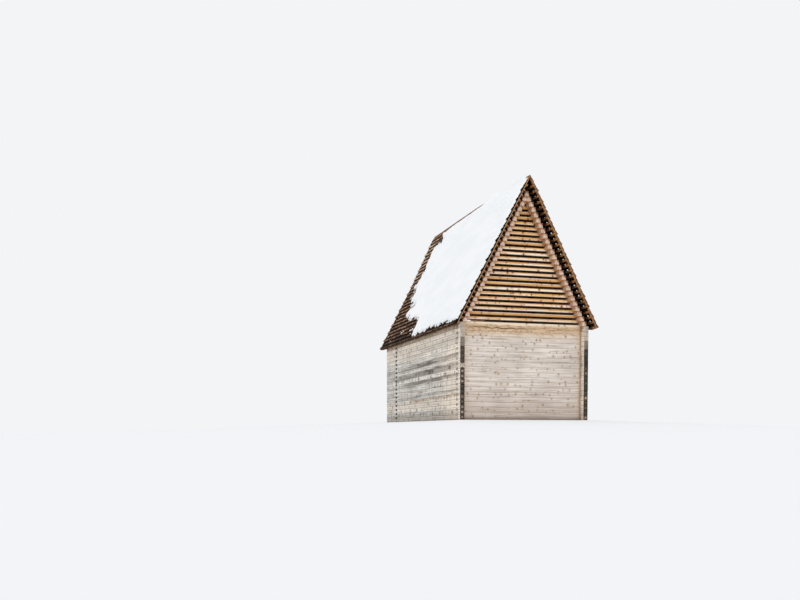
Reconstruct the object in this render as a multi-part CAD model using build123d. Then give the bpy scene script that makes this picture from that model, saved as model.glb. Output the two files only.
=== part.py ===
from build123d import *
import math
import os

# Timber mountain chapel: stacked squared timbers, slatted gables, a roof of stepped purlins under shingles.
# Millimetres. X runs across the building, the closed gable faces -Y, and Z = 0 is the underside of the sills.

# Timbers and courses
course = 140.0  # height of one course of squared timber
timber = 132.0  # thickness of wall timbers and purlins
seat = 0.3  # dry joint between one timber and the next
lap = 35.0  # half the height of a tenon, cut into the timber above and below it
wall_courses = 19
purlin_courses = 25

# Plan
width = 3874.0  # across the outer faces of the side walls
side_length = 7570.0  # side walls from end to end
front_set_back = 185.0  # side wall ends to the outer face of the front wall
porch_depth = 1160.0  # side wall ends to the outer face of the rear wall

# Slatted gables
slat_height = 87.0

# Doorway in the rear wall
door_width = 900.0
door_head_seam = 15  # the doorway ends on top of the cross timber at this seam
jamb_width = 60.0
jamb_proud = 10.0
head_height = 60.0

# Floor
deck_thickness = 30.0
joist_width = 120.0
joist_count = 9

# Roof covering, each layer measured square to the slope
rafter_depth = 45.0
rafter_width = 80.0
rafter_count = 5
rafter_inset = 250.0  # side wall ends to the first rafter
batten_depth = 50.0
batten_width = 60.0
shingle_depth = 38.0  # thickness of the covering at the top of a course
shingle_butt = 17.0  # how far a butt edge stands off the course below it
verge_overhang = 210.0
eave_reach = 135.0  # covering past the wall head, along the slope
tail_cut = 20.0  # rafter tails and eave battens stay this far inside the eave edge
lath_depth = 25.0
lath_width = 60.0
lath_cover = 2.0  # shingle left over a verge lath where both taper to the ridge
ridge_depth = 10.0  # thickness of the covering where it meets the ridge
ridge_board_thickness = 20.0
ridge_board_width = 170.0
ridge_gap = 1.0  # each slope's covering stops this far short of the middle, along the slope

# Worked out from the sizes above
half_width = width / 2
half_length = side_length / 2
step = (half_width - timber) / purlin_courses
wall_head = wall_courses * course
slope = math.atan2(course, step)
shingle_pitch = course / math.sin(slope)
front_wall_y = -half_length + front_set_back
rear_wall_y = half_length - porch_depth - timber
crossings = [(front_wall_y, front_wall_y + timber), (rear_wall_y, rear_wall_y + timber)]
batten_base = rafter_depth
shingle_base = batten_base + batten_depth
deck_top = 1.5 * course
left, right = 1, -1


# How far the outer face of a course steps in from the wall face
def course_offset(number):
    return max(0, number - wall_courses + 1) * step


# A point of the left slope in the XZ plane: up the slope from the wall head, and square out from the purlin corners
def slope_point(up, out):
    x = -half_width + up * math.cos(slope) - out * math.sin(slope)
    z = wall_head + up * math.sin(slope) + out * math.cos(slope)
    return (x, z)


# Distance up the slope at which a layer meets the middle of the building
def slope_top(out):
    return (half_width + out * math.sin(slope)) / math.cos(slope)


# A closed outline in the XZ plane, extruded along Y; side -1 mirrors it to the right of the building
def along_length(outline, y_low, y_high, side=left):
    flat = [(x * side, z) for x, z in outline]
    face = make_face(Plane.XZ.offset(-y_low) * Polyline(*flat, close=True))
    return extrude(face, y_high - y_low, dir=(0, 1, 0))


# A closed outline in the YZ plane, extruded along X
def across_width(outline, x_low, x_high):
    face = make_face(Plane.YZ.offset(x_low) * Polyline(*outline, close=True))
    return extrude(face, x_high - x_low, dir=(1, 0, 0))


def block(x_low, x_high, y_low, y_high, z_low, z_high):
    outline = [(x_low, z_low), (x_high, z_low), (x_high, z_high), (x_low, z_high)]
    return along_length(outline, y_low, y_high)


# A timber of a side wall or roof slope, notched above and below where the cross timbers' tenons pass through it
def long_timber(number, side, notch_above=True):
    low = number * course
    high = low + course - seat
    floor = low + course - lap
    outline = [(-half_length, low)]
    for start, end in crossings:
        outline += [(start, low), (start, low + lap), (end, low + lap), (end, low)]
    outline += [(half_length, low), (half_length, high)]
    for start, end in reversed(crossings):
        if notch_above:
            outline += [(end, high), (end, floor), (start, floor), (start, high)]
    outline.append((-half_length, high))
    outer = half_width - course_offset(number)
    if side == left:
        return across_width(outline, -outer, -outer + timber)
    return across_width(outline, outer - timber, outer)


# The end of a cross timber centred on a seam: a tenon through the long timbers, flush with both their outer faces
def tenon_end(seam, low, high):
    height = seam * course
    below = -half_width + course_offset(seam - 1)
    above = -half_width + course_offset(seam)
    points = [(below + timber, low)]
    if height - lap > low:
        points.append((below + timber, height - lap))
    points += [(below, max(low, height - lap)), (below, height)]
    if above > below:
        points.append((above, height))
    points.append((above, height + lap - seat))
    if above + timber < -seat:
        points += [(above + timber, height + lap - seat), (above + timber, high)]
    return points


# A cross timber from wall to wall, or from the left wall to a plain end at x_end
def cross_timber(seam, low, high, y_low, x_end=None):
    end = tenon_end(seam, low, high)
    if seam == 0:
        end = [(-half_width, low), (-half_width, lap - seat), (-half_width + timber, lap - seat)]
        end.append((-half_width + timber, high))
    if x_end is None:
        outline = end + [(-x, z) for x, z in reversed(end)]
    else:
        outline = end + [(x_end, high), (x_end, low)]
    return along_length(outline, y_low, y_low + timber)


def course_range(seam):
    low = max(0, (seam - 0.5) * course)
    return low, (seam + 0.5) * course - seat


def save(name, solids):
    shape = Compound(children=list(solids)) if len(solids) > 1 else solids[0]
    shape.label = name
    export_step(shape, "parts/" + name + ".step")


def side_walls():
    for name, side in (("left", left), ("right", right)):
        save(name + "_sill", [long_timber(0, side)])
        save(name + "_wall", [long_timber(number, side) for number in range(1, wall_courses - 1)])
        save(name + "_wall_plate", [long_timber(wall_courses - 1, side)])


# The closed part of a gable wall ends in a timber that is cut down below the first gap between slats
def top_timber(y_low):
    low = course_range(wall_courses)[0]
    return cross_timber(wall_courses, low, wall_courses * course + slat_height / 2, y_low)


def front_wall():
    save("front_sill", [cross_timber(0, *course_range(0), front_wall_y)])
    timbers = [cross_timber(seam, *course_range(seam), front_wall_y) for seam in range(1, wall_courses)]
    save("front_wall", timbers + [top_timber(front_wall_y)])


def rear_wall():
    opening = door_width / 2 + jamb_width
    head_z = (door_head_seam + 0.5) * course
    save("rear_sill", [cross_timber(seam, *course_range(seam), rear_wall_y) for seam in range(2)])
    beside = range(2, door_head_seam + 1)
    left_part = [cross_timber(seam, *course_range(seam), rear_wall_y, -opening) for seam in beside]
    save("rear_wall_left", left_part)
    save("rear_wall_right", [mirror(solid, Plane.YZ) for solid in left_part])
    over = range(door_head_seam + 1, wall_courses)
    timbers = [cross_timber(seam, *course_range(seam), rear_wall_y) for seam in over]
    save("rear_wall_over_door", timbers + [top_timber(rear_wall_y)])
    y_low = rear_wall_y - jamb_proud
    y_high = rear_wall_y + timber + jamb_proud
    jamb_top = head_z - head_height
    save("door_jamb_left", [block(-opening, -door_width / 2, y_low, y_high, deck_top, jamb_top)])
    save("door_jamb_right", [block(door_width / 2, opening, y_low, y_high, deck_top, jamb_top)])
    save("door_head", [block(-opening, opening, y_low, y_high, jamb_top, head_z - seat)])


def gable_slats():
    for name, y_low in (("front_gable_slats", front_wall_y), ("rear_gable_slats", rear_wall_y)):
        slats = []
        for seam in range(wall_courses + 1, wall_courses + purlin_courses):
            middle = seam * course
            slats.append(cross_timber(seam, middle - slat_height / 2, middle + slat_height / 2, y_low))
        save(name, slats)


def purlins():
    top = wall_courses + purlin_courses - 1
    for name, side in (("left_purlins", left), ("right_purlins", right)):
        save(name, [long_timber(number, side, number < top) for number in range(wall_courses, top + 1)])


# The single timber on top of the purlins, bevelled where it would stand through the rafters
def ridge_timber():
    low = (wall_courses + purlin_courses) * course
    high = low + course
    shoulder = wall_head + (half_width - timber / 2) * math.tan(slope)
    flat = half_width - (high - wall_head) / math.tan(slope)
    outline = [(-timber / 2, low), (timber / 2, low), (timber / 2, shoulder), (flat, high)]
    outline += [(-flat, high), (-timber / 2, shoulder)]
    save("ridge_timber", [along_length(outline, -half_length, half_length)])


# Sloping rafters on the purlins' outer corners, meeting in a plumb cut at the ridge
def rafters():
    tail = -eave_reach + tail_cut
    outline = [slope_point(tail, 0), slope_point(slope_top(0) - seat, 0)]
    outline += [slope_point(slope_top(rafter_depth) - seat, rafter_depth), slope_point(tail, rafter_depth)]
    span = side_length - 2 * rafter_inset - rafter_width
    for name, side in (("left_rafters", left), ("right_rafters", right)):
        solids = []
        for number in range(rafter_count):
            y_low = -half_length + rafter_inset + span * number / (rafter_count - 1)
            solids.append(along_length(outline, y_low, y_low + rafter_width, side))
        save(name, solids)


# One batten a course along the whole roof, from verge to verge
def battens():
    first = -eave_reach + tail_cut
    last = slope_top(batten_base) - batten_width - ridge_gap
    count = int((last - first) / shingle_pitch) + 1
    for name, side in (("left_battens", left), ("right_battens", right)):
        solids = []
        for number in range(count):
            low = first + number * shingle_pitch
            high = low + batten_width
            outline = [slope_point(low, batten_base), slope_point(high, batten_base)]
            outline += [slope_point(high, shingle_base), slope_point(low, shingle_base)]
            solids.append(along_length(outline, -half_length - verge_overhang, half_length + verge_overhang, side))
        save(name, solids)


# Where the ridge boards' lower edges lie, up the slope
def top_course():
    return slope_top(shingle_base + ridge_depth) - ridge_gap - ridge_board_width


# The shingle covering of one slope in section: a saw-tooth of butt edges over a flat underside
def shingle_outline():
    top_out = shingle_base + ridge_depth
    stand = shingle_base + shingle_depth
    outline = [slope_point(slope_top(shingle_base) - ridge_gap, shingle_base), slope_point(-eave_reach, shingle_base)]
    butt = -eave_reach
    while butt < top_course() - shingle_pitch / 2:
        if butt > -eave_reach:
            outline.append(slope_point(butt, stand))
        outline.append(slope_point(butt, stand + shingle_butt))
        butt += shingle_pitch
    outline.append(slope_point(top_course(), stand))
    outline.append(slope_point(slope_top(top_out) - ridge_gap, top_out))
    return outline


def lath_solid(y_low, side):
    top = shingle_base + lath_depth
    tip = shingle_base + ridge_depth - lath_cover
    outline = [slope_point(-eave_reach, shingle_base), slope_point(slope_top(shingle_base) - ridge_gap, shingle_base)]
    outline += [slope_point(slope_top(tip) - ridge_gap, tip)]
    outline += [slope_point(top_course(), top), slope_point(-eave_reach, top)]
    return along_length(outline, y_low, y_low + lath_width, side)


# A board down each side of the ridge, over the top course of shingles
def ridge_boards():
    low = shingle_base + shingle_depth + seat
    high = shingle_base + ridge_depth + seat
    outline = [slope_point(top_course(), low), slope_point(slope_top(high) - ridge_gap, high)]
    high += ridge_board_thickness
    outline += [slope_point(slope_top(high) - ridge_gap, high)]
    outline += [slope_point(top_course(), low + ridge_board_thickness)]
    for name, side in (("left", left), ("right", right)):
        board = along_length(outline, -half_length - verge_overhang, half_length + verge_overhang, side)
        save(name + "_ridge_board", [board])


# Shingles over a lath at each verge, which the covering is rebated for
def shingles():
    ends = (("front", -half_length - verge_overhang), ("rear", half_length + verge_overhang - lath_width))
    for name, side in (("left", left), ("right", right)):
        cover = along_length(shingle_outline(), -half_length - verge_overhang, half_length + verge_overhang, side)
        for end, y_low in ends:
            lath = lath_solid(y_low, side)
            save(name + "_" + end + "_verge_lath", [lath])
            cover = cover - lath
        save(name + "_shingles", [cover.solids()[0]])


def floor():
    inner = half_width - timber
    y_low = front_wall_y + timber
    span = rear_wall_y - y_low - joist_width
    joists = []
    for number in range(joist_count):
        start = y_low + span * number / (joist_count - 1)
        joists.append(block(-inner, inner, start, start + joist_width, 0, deck_top - deck_thickness))
    save("floor_joists", joists)
    save("floor_deck", [block(-inner, inner, y_low, rear_wall_y, deck_top - deck_thickness, deck_top)])


os.makedirs("parts", exist_ok=True)
side_walls()
front_wall()
rear_wall()
gable_slats()
purlins()
ridge_timber()
rafters()
battens()
shingles()
ridge_boards()
floor()
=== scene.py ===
import bmesh
import bpy
import math
import random
import numpy as np
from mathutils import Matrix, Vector, noise


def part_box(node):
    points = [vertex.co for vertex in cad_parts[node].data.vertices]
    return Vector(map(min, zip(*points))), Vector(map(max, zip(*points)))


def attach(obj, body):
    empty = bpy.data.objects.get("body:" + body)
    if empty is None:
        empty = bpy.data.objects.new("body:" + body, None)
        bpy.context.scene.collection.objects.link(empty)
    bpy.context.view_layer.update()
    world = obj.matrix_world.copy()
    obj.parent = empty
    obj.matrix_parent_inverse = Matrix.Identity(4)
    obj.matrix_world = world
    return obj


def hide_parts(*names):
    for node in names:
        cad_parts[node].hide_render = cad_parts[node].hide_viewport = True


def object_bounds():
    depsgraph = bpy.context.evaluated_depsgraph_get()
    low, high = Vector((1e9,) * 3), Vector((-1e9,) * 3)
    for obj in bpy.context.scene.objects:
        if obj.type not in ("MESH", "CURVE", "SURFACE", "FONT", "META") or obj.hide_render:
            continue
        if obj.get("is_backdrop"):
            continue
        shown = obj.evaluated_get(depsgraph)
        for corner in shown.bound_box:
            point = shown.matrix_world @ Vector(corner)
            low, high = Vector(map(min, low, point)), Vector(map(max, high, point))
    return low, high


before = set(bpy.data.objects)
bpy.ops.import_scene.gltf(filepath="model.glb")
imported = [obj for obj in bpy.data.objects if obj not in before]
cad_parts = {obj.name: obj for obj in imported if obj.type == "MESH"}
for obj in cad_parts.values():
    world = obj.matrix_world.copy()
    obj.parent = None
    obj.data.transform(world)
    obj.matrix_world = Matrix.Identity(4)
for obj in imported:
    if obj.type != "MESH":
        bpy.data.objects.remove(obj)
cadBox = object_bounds()
print("chapel: frame loaded")

# Sizes read off the frame, in metres
sillLow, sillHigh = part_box("left_sill")
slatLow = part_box("front_gable_slats")[0]
ridgeLow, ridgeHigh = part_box("ridge_timber")
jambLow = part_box("door_jamb_left")[0]
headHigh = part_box("door_head")[1]
deckLow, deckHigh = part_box("floor_deck")

halfWidth = -sillLow[0]
halfLength = sillHigh[1]
timber = sillHigh[0] - sillLow[0]
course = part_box("left_wall")[0][2]
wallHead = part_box("left_purlins")[0][2]
wallCourses = round(wallHead / course)
purlinCourses = round((ridgeLow[2] - wallHead) / course)
step = (halfWidth - timber) / purlinCourses
crossings = tuple(tuple(corner[1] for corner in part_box(node)) for node in ("front_sill", "rear_sill"))
slatHeight = 2 * ((wallCourses + 1) * course - slatLow[2])
slope = math.atan2(course, step)
pitch = course / math.sin(slope)
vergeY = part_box("left_battens")[1][1]

# Joinery and roof layers, which the frame's boxes don't give
joinery = {"seat": 0.0003, "lap": 0.035, "stepGap": 0.001}
roof = {
    "battenBase": 0.045, "battenDepth": 0.050, "battenWidth": 0.060, "coverDepth": 0.038,
    "buttThickness": 0.017, "eaveReach": 0.135, "tailCut": 0.020, "lathDepth": 0.025, "lathWidth": 0.060,
    "boardThickness": 0.020, "boardWidth": 0.170, "ridgeDepth": 0.010, "ridgeGap": 0.001, "topTrim": 0.004,
    "hair": 0.0005, "ridgeLift": 0.080, "liftFrom": 2.6,
}
roof["coverBase"] = roof["battenBase"] + roof["battenDepth"]
cosSlope, sinSlope = math.cos(slope), math.sin(slope)


def slopePoint(side, up, out):
    # side is -1 on the left of the building and 1 on the right
    x = halfWidth - up * cosSlope + out * sinSlope
    return side * x, wallHead + up * sinSlope + out * cosSlope


def slopeTop(out):
    return (halfWidth + out * sinSlope) / cosSlope


def clamped(value):
    return min(1.0, max(0.0, value))


def stepIn(number):
    return max(0, number - wallCourses + 1) * step


# Mesh building

def newBatch(seed):
    return {"points": [], "faces": [], "place": [], "section": [], "tone": [], "rng": random.Random(seed),
            "count": 0}


def sectionRing(a0, a1, b0, b1, bevel, segments):
    # a rounded rectangle, anticlockwise from its lowest corner
    bevel = min(bevel, (a1 - a0) * 0.45, (b1 - b0) * 0.45)
    points = []
    centres = ((a0 + bevel, b0 + bevel, 180), (a1 - bevel, b0 + bevel, 270),
               (a1 - bevel, b1 - bevel, 0), (a0 + bevel, b1 - bevel, 90))
    for centreA, centreB, start in centres:
        for number in range(segments + 1):
            angle = math.radians(start + 90 * number / segments)
            points.append((centreA + bevel * math.cos(angle), centreB + bevel * math.sin(angle)))
    return points


def loftTimber(batch, rings, toWorld, edges, middle):
    # rings: (along, a0, a1, b0, b1). edges: bevel, segments, spacing, bow. middle: centre of the full section
    rng = batch["rng"]
    number = batch["count"]
    batch["count"] += 1
    shift = (rng.uniform(0, 90), rng.uniform(0, 40), rng.uniform(0, 40))
    tone = rng.random()
    lift = rng.uniform(-1, 1) * edges["bow"]
    full = []
    for first, second in zip(rings, rings[1:]):
        span = second[0] - first[0]
        parts = max(1, round(abs(span) / edges["spacing"]))
        for part in range(parts):
            share = part / parts
            full.append([u + (v - u) * share for u, v in zip(first, second)])
    full.append(list(rings[-1]))
    end = edges["bevel"] * 0.7
    ways = 1 if full[-1][0] > full[0][0] else -1
    for index, move in ((0, ways), (-1, -ways)):
        ring = full[index]
        cap = [ring[0], ring[1] + end, ring[2] - end, ring[3] + end, ring[4] - end]
        inner = [ring[0] + move * end] + ring[1:]
        if cap[2] > cap[1] and cap[4] > cap[3]:
            if index == 0:
                full[0:1] = [cap, inner]
            else:
                full[-1:] = [inner, cap]
    base = len(batch["points"])
    count = 4 * (edges["segments"] + 1)
    for along, a0, a1, b0, b1 in full:
        wave = noise.noise(Vector((along * 0.7, number * 3.7, 0))) * edges["bow"] + lift
        bevel = edges["bevel"] * (1 + 0.55 * noise.noise(Vector((along * 2.3, number * 5.1, 9))))
        for a, b in sectionRing(a0 + wave, a1 + wave, b0, b1, bevel, edges["segments"]):
            batch["points"].append(toWorld(along, a, b))
            batch["place"].append((along + shift[0], a + shift[1], b + shift[2]))
            batch["section"].append((a - middle[0], b - middle[1], along))
            batch["tone"].append(tone)
    for ring in range(len(full) - 1):
        low = base + ring * count
        for k in range(count):
            n = (k + 1) % count
            batch["faces"].append((low + k, low + n, low + count + n, low + count + k))
    batch["faces"].append(tuple(range(base, base + count)))
    last = base + (len(full) - 1) * count
    batch["faces"].append(tuple(range(last, last + count)))


def alongY(along, a, b):
    return a, along, b


def alongX(along, a, b):
    return along, a, b


def upright(along, a, b):
    return a, b, along


def straightTimber(batch, axis, low, high, edges):
    # a timber that fills the box between two corners and lies along the given axis
    a, b = [k for k in range(3) if k != axis]
    rings = [(corner[axis], low[a], high[a], low[b], high[b]) for corner in (low, high)]
    loftTimber(batch, rings, (alongX, alongY, upright)[axis], edges,
               ((low[a] + high[a]) / 2, (low[b] + high[b]) / 2))


def bothSides(seed):
    return ("left", -1, seed), ("right", 1, seed + 1)


def cleanMesh(mesh, merge=None):
    work = bmesh.new()
    work.from_mesh(mesh)
    if merge:
        bmesh.ops.remove_doubles(work, verts=work.verts, dist=merge)
    bmesh.ops.recalc_face_normals(work, faces=work.faces)
    work.to_mesh(mesh)
    work.free()


def placeMesh(name, mesh, material, sharp=None):
    mesh.polygons.foreach_set("use_smooth", [True] * len(mesh.polygons))
    if sharp:
        mesh.set_sharp_from_angle(angle=math.radians(sharp))
    mesh.materials.append(material)
    piece = bpy.data.objects.new(name, mesh)
    bpy.context.scene.collection.objects.link(piece)
    return piece


def finishBatch(batch, name, material, nodes, sharp=35):
    mesh = bpy.data.meshes.new(name)
    mesh.from_pydata(batch["points"], [], batch["faces"])
    for key, kind, field in (("place", "FLOAT_VECTOR", "vector"), ("section", "FLOAT_VECTOR", "vector"),
                             ("tone", "FLOAT", "value")):
        layer = mesh.attributes.new(key, kind, "POINT")
        layer.data.foreach_set(field, np.array(batch[key], dtype=np.float32).ravel())
    cleanMesh(mesh)
    piece = placeMesh(name, mesh, material, sharp)
    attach(piece, "root")
    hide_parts(*nodes)


# Shader helpers. They build in the node tree that was opened last

shader = {"tree": None, "material": None}


def rgb(red, green, blue):
    linear = []
    for value in (red, green, blue):
        share = value / 255
        linear.append(share / 12.92 if share <= 0.04045 else ((share + 0.055) / 1.055) ** 2.4)
    return tuple(linear) + (1.0,)


def feed(socket, value):
    if hasattr(value, "is_output"):
        shader["tree"].links.new(value, socket)
    elif value is not None:
        socket.default_value = value


def addNode(kind, inputs=None, **settings):
    node = shader["tree"].nodes.new("ShaderNode" + kind)
    for key, value in settings.items():
        setattr(node, key, value)
    for key, value in (inputs or {}).items():
        feed(node.inputs[key], value)
    return node


def calc(operation, first, second=None, clamp=False):
    return addNode("Math", {0: first, 1: second}, operation=operation, use_clamp=clamp).outputs[0]


def times(first, *others):
    for value in others:
        first = calc("MULTIPLY", first, value)
    return first


def plus(first, *others):
    for value in others:
        first = calc("ADD", first, value)
    return first


def minus(first, second):
    return calc("SUBTRACT", first, second)


def absolute(value):
    return calc("ABSOLUTE", value)


def larger(first, second):
    return calc("MAXIMUM", first, second)


def redrawn(value, factor):
    # another share between 0 and 1, worked out from the first
    return calc("FRACT", times(value, factor))


def sway(amount, *pattern):
    # noise around zero
    return times(minus(noisy(*pattern), 0.5), amount)


def blendColour(factor, first, second):
    return addNode("Mix", {"Factor": factor, 6: first, 7: second}, data_type="RGBA").outputs[2]


def laid(colour, second, mask, share=None):
    # the second colour laid over the first where the mask is
    return blendColour(mask if share is None else times(mask, share), colour, second)


def spread(value, low, high, toLow=0.0, toHigh=1.0):
    inputs = {"Value": value, "From Min": low, "From Max": high, "To Min": toLow, "To Max": toHigh}
    return addNode("MapRange", inputs, interpolation_type="SMOOTHSTEP").outputs["Result"]


def scaled(vector, factors):
    return addNode("VectorMath", {0: vector, 1: factors}, operation="MULTIPLY").outputs[0]


def summed(first, second):
    return addNode("VectorMath", {0: first, 1: second}, operation="ADD").outputs[0]


def joined(x, y, z):
    return addNode("CombineXYZ", {0: x, 1: y, 2: z}).outputs[0]


def parted(vector):
    return addNode("SeparateXYZ", {0: vector}).outputs


def noisy(vector, scale, detail=2.0, roughness=0.5, output="Fac"):
    return addNode("TexNoise", {"Vector": vector, "Scale": scale, "Detail": detail,
                                "Roughness": roughness}).outputs[output]


def attribute(name, output="Vector"):
    return addNode("Attribute", attribute_name=name).outputs[output]


def newGroup(name, inputs, outputs):
    # an input without a value is a vector; all else is a plain number
    tree = bpy.data.node_groups.new(name, "ShaderNodeTree")
    shader["tree"] = tree
    for label, value in inputs.items():
        kind = "NodeSocketVector" if value is None else "NodeSocketFloat"
        socket = tree.interface.new_socket(label, in_out="INPUT", socket_type=kind)
        if value is not None:
            socket.default_value = value
    for label in outputs:
        tree.interface.new_socket(label, in_out="OUTPUT", socket_type="NodeSocketFloat")
    return tree, tree.nodes.new("NodeGroupInput").outputs, tree.nodes.new("NodeGroupOutput").inputs


def placeGroup(group, **values):
    return addNode("Group", values, node_tree=group).outputs


# Shared effects

def makeFibreGroup():
    # fine fibres and broad growth bands, both drawn out along the timber
    tree, given, out = newGroup("woodFibre",
                                {"Place": None, "Stretch": 0.04, "Fibres": 170.0, "Bands": 26.0},
                                ("Fine", "Bands", "Lines"))
    drawn = scaled(given["Place"], joined(given["Stretch"], 1.0, 1.0))
    fine = noisy(drawn, given["Fibres"], 3.0, 0.6)
    waver = noisy(scaled(given["Place"], (0.7, 2.0, 2.0)), 1.6, 1.0)
    shifted = summed(drawn, joined(0.0, 0.0, times(waver, 0.05)))
    bands = noisy(shifted, given["Bands"], 2.0, 0.55)
    lines = noisy(scaled(shifted, (0.5, 1.0, 1.0)), times(given["Bands"], 2.3), 1.0, 0.5)
    feed(out["Fine"], spread(fine, 0.3, 0.7))
    feed(out["Bands"], spread(bands, 0.34, 0.66))
    feed(out["Lines"], spread(lines, 0.60, 0.70))
    return tree


def makeKnotGroup():
    # round and slightly upright knots, some cells left empty
    tree, given, out = newGroup("woodKnots", {"Place": None, "Spacing": 0.25, "Size": 0.02, "Share": 0.7},
                                ("Core", "Halo"))
    along = parted(given["Place"])
    flat = joined(along[0], times(along[2], 0.8), 0.0)
    warp = noisy(flat, 24.0, 1.0, 0.5, "Color")
    warped = summed(flat, scaled(warp, (0.020, 0.020, 0.0)))
    density = calc("DIVIDE", 1.0, given["Spacing"])
    cells = addNode("TexVoronoi", {"Vector": warped, "Scale": density}, voronoi_dimensions="2D").outputs
    apart = times(cells["Distance"], given["Spacing"])
    chance = parted(cells["Color"])
    present = calc("LESS_THAN", chance[0], given["Share"])
    radius = times(given["Size"], plus(0.45, chance[1]))
    core = spread(apart, times(radius, 0.45), radius, 1.0, 0.0)
    halo = spread(apart, radius, times(radius, 3.0), 1.0, 0.0)
    feed(out["Core"], times(core, present))
    feed(out["Halo"], times(halo, present))
    return tree


def makeEndGroup():
    # growth rings and a star of drying cracks on a sawn end
    tree, given, out = newGroup("endGrain", {"Section": None, "Tone": 0.5, "Ring": 0.009, "Crack": 0.004},
                                ("Rings", "Cracks"))
    tone = given["Tone"]
    sideways, upwards = times(minus(tone, 0.5), 0.05), times(minus(redrawn(tone, 7.0), 0.5), 0.05)
    offset = joined(sideways, upwards, 0.0)
    moved = summed(scaled(given["Section"], (1.0, 1.0, 0.0)), offset)
    parts = parted(moved)
    reach = addNode("VectorMath", {0: moved}, operation="LENGTH").outputs["Value"]
    wobble = noisy(moved, 30.0, 2.0)
    angle = calc("ARCTAN2", parts[1], parts[0])
    rings = calc("SINE", plus(calc("DIVIDE", times(reach, 6.283), given["Ring"]), times(wobble, 5.0)))
    turned = plus(times(angle, 2.0), plus(times(tone, 1.6), times(wobble, 1.3)))
    apart = times(absolute(calc("SINE", turned)), times(reach, 0.5))
    cracks = spread(apart, 0.0, given["Crack"], 1.0, 0.0)
    fade = spread(reach, 0.055, 0.085, 1.0, 0.25)
    feed(out["Rings"], calc("MULTIPLY_ADD", rings, 0.5))
    feed(out["Cracks"], times(cracks, fade))
    return tree


def makeStainGroup():
    # broad stains and drips that run down the wall, in the building's own coordinates
    tree, given, out = newGroup("weatherStain", {"Position": None, "Size": 0.8, "Drip": 14.0},
                                ("Stain", "Drips"))
    stain = noisy(given["Position"], calc("DIVIDE", 1.0, given["Size"]), 3.0, 0.6)
    drips = noisy(scaled(given["Position"], (1.0, 1.0, 0.16)), given["Drip"], 3.0, 0.65)
    feed(out["Stain"], spread(stain, 0.36, 0.64))
    feed(out["Drips"], spread(drips, 0.50, 0.68))
    return tree


def makeSeamGroup():
    # dirt and shade that gather at the joints above and below a timber
    tree, given, out = newGroup("seamShade", {"Section": None, "Half": 0.07, "Width": 0.012},
                                ("Mask", "Height"))
    parts = parted(given["Section"])
    near = minus(given["Half"], absolute(parts[1]))
    rough = noisy(scaled(given["Section"], (0.0, 0.0, 1.0)), 7.0, 3.0, 0.6)
    width = times(given["Width"], plus(0.35, times(rough, 1.3)))
    feed(out["Mask"], spread(near, 0.0, width, 1.0, 0.0))
    feed(out["Height"], calc("DIVIDE", parts[1], given["Half"]))
    return tree


def makeCrackGroup():
    # one long drying crack that wanders along the middle of a timber's face and breaks off
    tree, given, out = newGroup("dryingCrack",
                                {"Place": None, "Section": None, "Tone": 0.5, "Width": 0.004,
                                 "Reach": 0.03}, ("Mask",))
    place = parted(given["Place"])
    section = parted(given["Section"])
    along = joined(place[0], 0.0, 0.0)
    wander = sway(given["Reach"], along, 0.9, 3.0, 0.55)
    start = times(minus(redrawn(given["Tone"], 13.0), 0.5), given["Reach"])
    apart = absolute(minus(section[1], plus(start, wander)))
    broken = spread(noisy(summed(along, (5.0, 0.0, 0.0)), 0.75, 3.0, 0.6), 0.44, 0.54)
    width = times(given["Width"], broken)
    feed(out["Mask"], times(spread(apart, times(width, 0.3), plus(width, 0.0005), 1.0, 0.0), broken))
    return tree


fibreGroup, knotGroup, endGroup = makeFibreGroup(), makeKnotGroup(), makeEndGroup()
stainGroup, seamGroup, crackGroup = makeStainGroup(), makeSeamGroup(), makeCrackGroup()


def newMaterial(name):
    material = bpy.data.materials.new(name)
    material.use_nodes = True
    shader.update(tree=material.node_tree, material=material)
    material.node_tree.nodes.clear()


def finishMaterial(colour, roughness, specular, height=None, depth=0.001):
    inputs = {"Base Color": colour, "Roughness": roughness, "Specular IOR Level": specular}
    if height is not None:
        inputs["Normal"] = addNode("Bump",
                                   {"Height": height, "Distance": depth, "Strength": 1.0}).outputs[0]
    surface = addNode("BsdfPrincipled", inputs)
    addNode("OutputMaterial", {0: surface.outputs[0]})
    return shader["material"]


def startTimber(name, look):
    # what every timber material shares: its coordinates, the effects of the groups above and the bare wood
    newMaterial(name)
    place, section, tone = attribute("place"), attribute("section"), attribute("tone", "Fac")
    geometry = addNode("NewGeometry").outputs
    world, normal = geometry["Position"], parted(geometry["Normal"])
    half = look["halfHeight"]
    knots = {"Spacing": look["knotSpacing"], "Size": look["knotSize"], "Share": look["knotShare"]}
    fibres = {"Stretch": look["stretch"], "Fibres": look["fibres"], "Bands": look["bands"]}
    fine, bands, lines = placeGroup(fibreGroup, Place=place, **fibres)
    core, halo = placeGroup(knotGroup, Place=place, **knots)
    rings, star = placeGroup(endGroup, Section=section, Tone=tone, Ring=0.009, Crack=look["crack"])
    stain, drips = placeGroup(stainGroup, Position=world, Size=look["stainSize"], Drip=look["drip"])
    joint, height = placeGroup(seamGroup, Section=section, Width=look["seamWidth"], Half=half)
    split = {"Section": section, "Tone": tone, "Width": look.get("crackWidth", 0.004), "Reach": half * 0.9}
    crack = placeGroup(crackGroup, Place=place, **split)[0]
    wood = {
        "place": place, "section": parted(section), "tone": tone, "world": world, "where": parted(world),
        "normal": normal, "end": spread(absolute(normal[look["axis"]]), 0.6, 0.85), "fine": fine,
        "bands": bands, "lines": lines, "core": core, "halo": halo, "rings": rings, "star": star,
        "stain": stain, "drips": drips, "joint": joint, "height": height, "crack": crack,
    }
    colour = blendColour(bands, look["light"], look["mid"])
    colour = laid(colour, look["line"], lines, look["lineShare"])
    return wood, laid(colour, look["dark"], fine, 0.16)


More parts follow.
